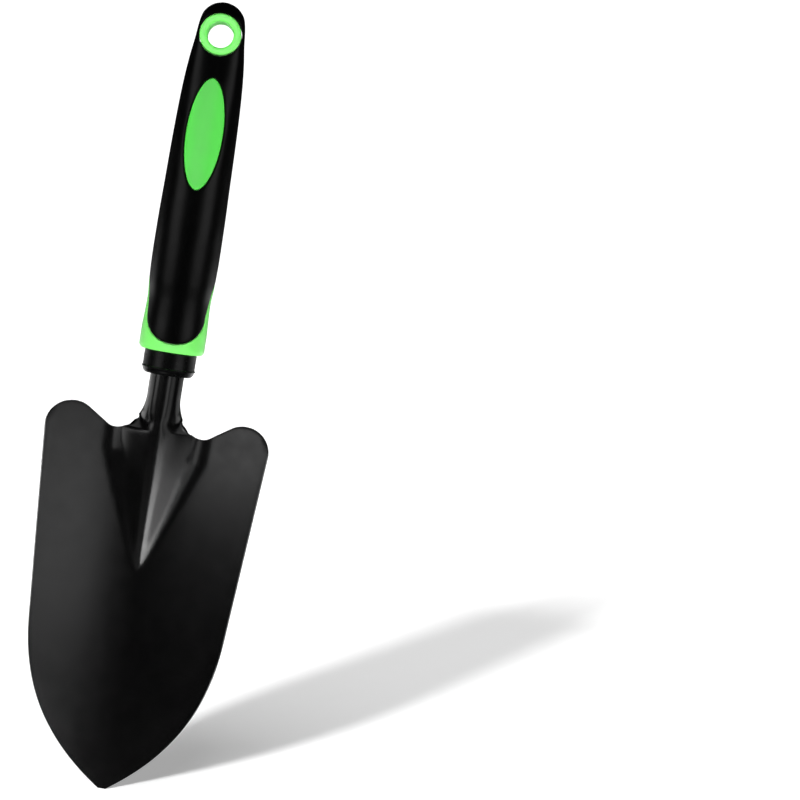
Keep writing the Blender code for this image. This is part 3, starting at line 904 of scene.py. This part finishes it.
def hole_cutter():
    """The hanging hole, flared at both faces."""
    half = RING_HALF_DEPTH
    flare = arc((HOLE_RADIUS + RING_FLARE, half - RING_FLARE), RING_FLARE, FLARE_END, 180,
                RING_ARC_STEPS)
    upper = [(flare[0][0], half + OVERSHOOT), *flare]
    profile = [(0.0, half + OVERSHOOT), *upper, *((r, -h) for r, h in reversed(upper)),
               (0.0, -half - OVERSHOOT)]
    return turned("hang_hole", profile, RING_FACETS, axis='Y')


def socket_cutter():
    """The bore for the tang, with a wider mouth for the sleeve's spigot."""
    bore = NECK_RADIUS + GAP
    mouth = SPIGOT_RADIUS + GAP
    top = TANG_TOP + TANG_END_ROOM
    shoulder = SLEEVE_HIGH.z + GAP
    bottom = up(HANDLE_RINGS[0, 0] * MM) - OVERSHOOT
    profile = [(0.0, top), (bore, top), (bore, shoulder), (mouth, shoulder), (mouth, bottom),
               (0.0, bottom)]
    return turned("tang_socket", profile, RING_FACETS)


def pin_cutter():
    """The hole for the cross pin, with clearance."""
    low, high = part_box("tang_pin")
    radius = (high.z - low.z) / 2 + GAP
    height = (high.z + low.z) / 2
    cutter = turned("pin_hole", [(0.0, OVERSHOOT), (radius, OVERSHOOT), (radius, -OVERSHOOT),
                                 (0.0, -OVERSHOOT)], PIN_FACETS)
    cutter.data.transform(Matrix.Translation((0, 0, height)) @ Euler((0, math.pi / 2, 0))
                          .to_matrix().to_4x4())
    return cutter


def make_sleeve():
    """Black sleeve round the neck, with a bead at its lower edge over a round nose."""
    bore = NECK_RADIUS + GAP
    seat = up(HANDLE_RINGS[0, 0] * MM) - GAP
    lip = up(LIP_STATION)
    outer = SLEEVE_HIGH.x
    barrel = outer - BEAD_STAND
    bead = arc((outer - BEAD_RADIUS, lip), BEAD_RADIUS,
               BEAD_HALF_TURN, -BEAD_HALF_TURN, BEAD_STEPS)
    nose = arc((outer - BEAD_RADIUS - NOSE_RADIUS, lip - BEAD_RADIUS), NOSE_RADIUS,
               0, -NOSE_TURN, NOSE_STEPS)
    profile = [(SPIGOT_RADIUS, SLEEVE_HIGH.z), (SPIGOT_RADIUS, seat),
               (barrel - SLEEVE_CHAMFER, seat), (barrel, seat - SLEEVE_CHAMFER),
               (barrel, lip + BEAD_RADIUS + BEAD_RISE), *bead, *nose,
               (bore + SLEEVE_CHAMFER, SLEEVE_LOW.z), (bore, SLEEVE_LOW.z + SLEEVE_CHAMFER),
               (bore, SLEEVE_HIGH.z)]
    sleeve = turned("sleeve_moulded", profile, SLEEVE_FACETS)
    shade_round(sleeve)
    return sleeve


# ---------------------------------------------------------------- materials

def new_material(name, roughness, metallic=0.0):
    """A Principled material; returns the material, its node tree and its shader."""
    material = bpy.data.materials.new(name)
    material.use_nodes = True
    shader = material.node_tree.nodes["Principled BSDF"]
    shader.inputs["Roughness"].default_value = roughness
    shader.inputs["Metallic"].default_value = metallic
    return material, material.node_tree, shader


def noise(tree, scale, detail=2.0, stretch=(1.0, 1.0, 1.0)):
    """The value of a noise texture with that many waves in a metre of the object."""
    coordinates = tree.nodes.new('ShaderNodeTexCoord')
    mapping = tree.nodes.new('ShaderNodeMapping')
    mapping.inputs["Scale"].default_value = stretch
    texture = tree.nodes.new('ShaderNodeTexNoise')
    texture.inputs["Scale"].default_value = scale
    texture.inputs["Detail"].default_value = detail
    tree.links.new(coordinates.outputs["Object"], mapping.inputs["Vector"])
    tree.links.new(mapping.outputs["Vector"], texture.inputs["Vector"])
    return texture.outputs["Fac"]


def spread(tree, value, low, high):
    """The value of a noise, stretched to run between two numbers."""
    remap = tree.nodes.new('ShaderNodeMapRange')
    remap.inputs["From Min"].default_value = NOISE_LOW
    remap.inputs["From Max"].default_value = NOISE_HIGH
    remap.inputs["To Min"].default_value = low
    remap.inputs["To Max"].default_value = high
    tree.links.new(value, remap.inputs["Value"])
    return remap.outputs["Result"]


def two_colours(tree, value, dark, light):
    """A colour that wanders between two as the noise does."""
    ramp = tree.nodes.new('ShaderNodeValToRGB')
    ramp.color_ramp.elements[0].position = NOISE_LOW
    ramp.color_ramp.elements[0].color = (*dark, 1.0)
    ramp.color_ramp.elements[1].position = NOISE_HIGH
    ramp.color_ramp.elements[1].color = (*light, 1.0)
    tree.links.new(value, ramp.inputs["Fac"])
    return ramp.outputs["Color"]


def bump(tree, shader, layers):
    """Stacked bumps: (noise value, height in metres) from the coarsest to the finest."""
    below = None
    for value, height in layers:
        node = tree.nodes.new('ShaderNodeBump')
        node.inputs["Distance"].default_value = height
        tree.links.new(value, node.inputs["Height"])
        if below:
            tree.links.new(below, node.inputs["Normal"])
        below = node.outputs["Normal"]
    tree.links.new(below, shader.inputs["Normal"])


def powder_coat():
    """Satin black powder coating: faint orange peel, fine grain and a little unevenness."""
    material, tree, shader = new_material("powder_coat", 0.22)
    uneven = noise(tree, 40.0, 3.0)
    tree.links.new(two_colours(tree, uneven, (0.0008, 0.0008, 0.0009), (0.0014, 0.0014, 0.0015)),
                   shader.inputs["Base Color"])
    tree.links.new(spread(tree, noise(tree, 160.0, 3.0), 0.20, 0.24), shader.inputs["Roughness"])
    bump(tree, shader, [(noise(tree, 300.0, 1.0), 0.002 * MM), (noise(tree, 2600.0), 0.0015 * MM)])
    return material


def soft_rubber():
    """Black soft-touch rubber with a fine matt grain."""
    material, tree, shader = new_material("soft_rubber", 0.34)
    tree.links.new(two_colours(tree, noise(tree, 60.0, 3.0), (0.0004, 0.0004, 0.0005),
                               (0.0008, 0.0008, 0.0009)), shader.inputs["Base Color"])
    tree.links.new(spread(tree, noise(tree, 220.0, 3.0), 0.31, 0.36), shader.inputs["Roughness"])
    bump(tree, shader, [(noise(tree, 300.0), 0.004 * MM), (noise(tree, 3800.0), 0.006 * MM)])
    return material


def painted_light_beyond_pad(tree):
    """A mask for painted light: 0 over the thumb pad's length and 1 beyond it, at the collar and
    ring.
    """
    coordinates = tree.nodes.new('ShaderNodeTexCoord')
    split = tree.nodes.new('ShaderNodeSeparateXYZ')
    beside_pad = tree.nodes.new('ShaderNodeMath')
    beside_pad.operation = 'COMPARE'
    beside_pad.inputs[1].default_value = up(PAD_STATION * MM)
    beside_pad.inputs[2].default_value = PAINTED_LIGHT_FROM
    beyond = tree.nodes.new('ShaderNodeMath')
    beyond.operation = 'SUBTRACT'
    beyond.inputs[0].default_value = 1.0
    tree.links.new(coordinates.outputs["Object"], split.inputs["Vector"])
    tree.links.new(split.outputs["Z"], beside_pad.inputs[0])
    tree.links.new(beside_pad.outputs["Value"], beyond.inputs[1])
    return beyond.outputs["Value"]


def green_plastic():
    """Bright green moulded plastic, slightly translucent, with faint flow marks.

    The collar and the hanging ring get a paler green than the thumb pad. This is painted light: a
    lit copy of the same green that stands in for the stronger light and reflection they catch.
    """
    material, tree, shader = new_material("green_plastic", 0.34)
    flow = noise(tree, 90.0, 3.0, stretch=(1.0, 1.0, 0.3))
    # painted light: the collar and the ring get a paler, lit copy of the green
    painted_light_mix = tree.nodes.new('ShaderNodeMixRGB')
    tree.links.new(painted_light_beyond_pad(tree), painted_light_mix.inputs["Fac"])
    tree.links.new(two_colours(tree, flow, (0.060, 0.66, 0.044), (0.072, 0.71, 0.054)),
                   painted_light_mix.inputs["Color1"])
    # painted light: the paler green of the collar and the ring
    tree.links.new(two_colours(tree, flow, (0.185, 0.87, 0.135), (0.205, 0.91, 0.150)),
                   painted_light_mix.inputs["Color2"])
    tree.links.new(painted_light_mix.outputs["Color"], shader.inputs["Base Color"])
    tree.links.new(spread(tree, noise(tree, 260.0, 2.0), 0.30, 0.38), shader.inputs["Roughness"])
    shader.inputs["Subsurface Weight"].default_value = 0.12
    shader.inputs["Subsurface Radius"].default_value = (0.4, 1.0, 0.4)
    shader.inputs["Subsurface Scale"].default_value = 0.8 * MM
    shader.inputs["Specular IOR Level"].default_value = 0.9
    shader.inputs["Sheen Weight"].default_value = 0.25
    shader.inputs["Sheen Roughness"].default_value = 0.3
    bump(tree, shader, [(noise(tree, 240.0, 1.0), 0.005 * MM)])
    return material


def black_plastic():
    """Hard black plastic, glossier than the grip."""
    material, tree, shader = new_material("black_plastic", 0.3)
    tree.links.new(two_colours(tree, noise(tree, 150.0, 2.0), (0.0016, 0.0016, 0.0017),
                               (0.0026, 0.0026, 0.0027)), shader.inputs["Base Color"])
    tree.links.new(spread(tree, noise(tree, 400.0, 2.0), 0.26, 0.34), shader.inputs["Roughness"])
    bump(tree, shader, [(noise(tree, 900.0, 2.0), 0.004 * MM)])
    return material


def pin_steel():
    """Plain drawn steel, with streaks along the pin."""
    material, tree, shader = new_material("pin_steel", 0.35, metallic=1.0)
    streaks = noise(tree, 1500.0, 2.0, stretch=(0.05, 1.0, 1.0))
    tree.links.new(two_colours(tree, streaks, (0.46, 0.46, 0.47), (0.62, 0.62, 0.63)),
                   shader.inputs["Base Color"])
    tree.links.new(spread(tree, streaks, 0.28, 0.42), shader.inputs["Roughness"])
    bump(tree, shader, [(streaks, 0.004 * MM)])
    return material


def dress(obj, material, node):
    """Gives a piece its material and puts it in place of a CAD node."""
    obj.data.materials.clear()
    obj.data.materials.append(material)
    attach(obj, "root")
    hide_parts(node)


# ---------------------------------------------------------------- stage

def make_floor(height):
    """A pale floor under the point of the blade. Its glow keeps the shadow on it soft grey."""
    bm = bmesh.new()
    bmesh.ops.create_circle(bm, cap_ends=True, segments=FLOOR_SIDES, radius=STAGE_RADIUS)
    mesh = bpy.data.meshes.new("floor")
    bm.to_mesh(mesh)
    bm.free()
    floor = bpy.data.objects.new("floor", mesh)
    floor.location.z = height
    bpy.context.scene.collection.objects.link(floor)
    material, _, shader = new_material("floor_paint", 0.9)
    shader.inputs["Base Color"].default_value = (0.8, 0.8, 0.8, 1.0)
    shader.inputs["Emission Color"].default_value = (1.0, 1.0, 1.0, 1.0)
    shader.inputs["Emission Strength"].default_value = FLOOR_GLOW
    floor.data.materials.append(material)
    floor.visible_glossy = False
    floor.visible_shadow = False
    floor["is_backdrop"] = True
    return floor


def make_backdrop():
    """A white dome round the scene, seen only by the camera."""
    bm = bmesh.new()
    bmesh.ops.create_icosphere(bm, subdivisions=DOME_LEVEL, radius=STAGE_RADIUS)
    bmesh.ops.reverse_faces(bm, faces=bm.faces)
    mesh = bpy.data.meshes.new("backdrop")
    bm.to_mesh(mesh)
    bm.free()
    dome = bpy.data.objects.new("backdrop", mesh)
    bpy.context.scene.collection.objects.link(dome)
    material, _, shader = new_material("backdrop_white", 1.0)
    shader.inputs["Base Color"].default_value = (0.0, 0.0, 0.0, 1.0)
    shader.inputs["Emission Color"].default_value = (1.0, 1.0, 1.0, 1.0)
    shader.inputs["Emission Strength"].default_value = BACKDROP_GLOW
    dome.data.materials.append(material)
    dome.visible_diffuse = False
    dome.visible_glossy = False
    dome.visible_transmission = False
    dome.visible_shadow = False
    dome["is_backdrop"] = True


def aim(obj, target):
    """Turns a light to face a point."""
    obj.rotation_euler = (Vector(target) - obj.location).to_track_quat('-Z', 'Y').to_euler()


def light_only(light, pieces):
    """Lets a light reach only these pieces."""
    receivers = bpy.data.collections.new(light.name + "_receivers")
    for piece in pieces:
        receivers.objects.link(piece)
    light.light_linking.receiver_collection = receivers


def make_softbox(box, pieces):
    """A rectangular light that faces the tool's axis and lights only these pieces."""
    light = bpy.data.lights.new(box.name, 'AREA')
    light.shape = 'RECTANGLE'
    light.size = box.width
    light.size_y = box.high - box.low
    light.energy = math.pi * box.radiance * light.size * light.size_y
    obj = bpy.data.objects.new(box.name, light)
    turn = math.radians(box.azimuth)
    height = up((box.low + box.high) / 2)
    obj.location = (SOFTBOX_DISTANCE * math.sin(turn), -SOFTBOX_DISTANCE * math.cos(turn), height)
    bpy.context.scene.collection.objects.link(obj)
    aim(obj, (0.0, 0.0, height))
    obj.visible_camera = False
    light_only(obj, pieces)


def make_sun(sun, pieces):
    """A sun that glossy surfaces don't mirror and that lights only these pieces."""
    light = bpy.data.lights.new(sun.name, 'SUN')
    light.energy = sun.strength
    light.angle = math.radians(sun.angle)
    obj = bpy.data.objects.new(sun.name, light)
    turn = math.radians(sun.azimuth)
    rise = math.radians(sun.elevation)
    obj.location = (math.cos(rise) * math.sin(turn), -math.cos(rise) * math.cos(turn),
                    math.sin(rise))
    bpy.context.scene.collection.objects.link(obj)
    aim(obj, (0.0, 0.0, 0.0))
    obj.visible_glossy = False
    light_only(obj, pieces)


def make_world():
    """A very dim grey surrounding."""
    world = bpy.data.worlds.new("studio")
    world.use_nodes = True
    background = world.node_tree.nodes["Background"]
    background.inputs["Color"].default_value = (1.0, 1.0, 1.0, 1.0)
    background.inputs["Strength"].default_value = WORLD_STRENGTH
    bpy.context.scene.world = world


def make_camera():
    """In front of the tool, a little to its right, turned so that the tool leans in the frame."""
    data = bpy.data.cameras.new("camera")
    data.sensor_width = SENSOR
    data.lens = SENSOR * CAMERA_DISTANCE / FRAME_WIDTH
    camera = bpy.data.objects.new("camera", data)
    turn = math.radians(CAMERA_AZIMUTH)
    camera.location = (CAMERA_DISTANCE * math.sin(turn), -CAMERA_DISTANCE * math.cos(turn),
                       up(CAMERA_STATION))
    bpy.context.scene.collection.objects.link(camera)
    target = Vector((AIM_X, 0.0, up(AIM_STATION)))
    facing = (target - camera.location).to_track_quat('-Z', 'Y')
    camera.rotation_mode = 'QUATERNION'
    camera.rotation_quaternion = facing @ Euler((0, 0, math.radians(LEAN))).to_quaternion()
    data.clip_start = CLIP_START
    data.clip_end = 4 * STAGE_RADIUS
    bpy.context.scene.camera = camera


blade, sleeve, core, grip = make_blade(), make_sleeve(), make_core(), make_grip()
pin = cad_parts["tang_pin"]
dress(blade, powder_coat(), "blade")
dress(sleeve, black_plastic(), "neck_sleeve")
dress(core, green_plastic(), "handle_core")
dress(grip, soft_rubber(), "grip_overmould")
pin.data.materials.clear()
pin.data.materials.append(pin_steel())

make_backdrop()
make_world()
ground = make_floor(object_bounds()[0].z)
for softbox in BLADE_SOFTBOXES:
    make_softbox(softbox, [blade])
for softbox in HANDLE_SOFTBOXES:
    make_softbox(softbox, [sleeve, core, grip, pin])
make_sun(FLOOR_KEY, [ground])
make_sun(FLOOR_FILL, [ground])
make_sun(FILL, [blade, sleeve, core, grip, pin])
make_sun(GREEN_FILL, [core])
make_camera()
bpy.context.scene.view_settings.view_transform = 'Standard'
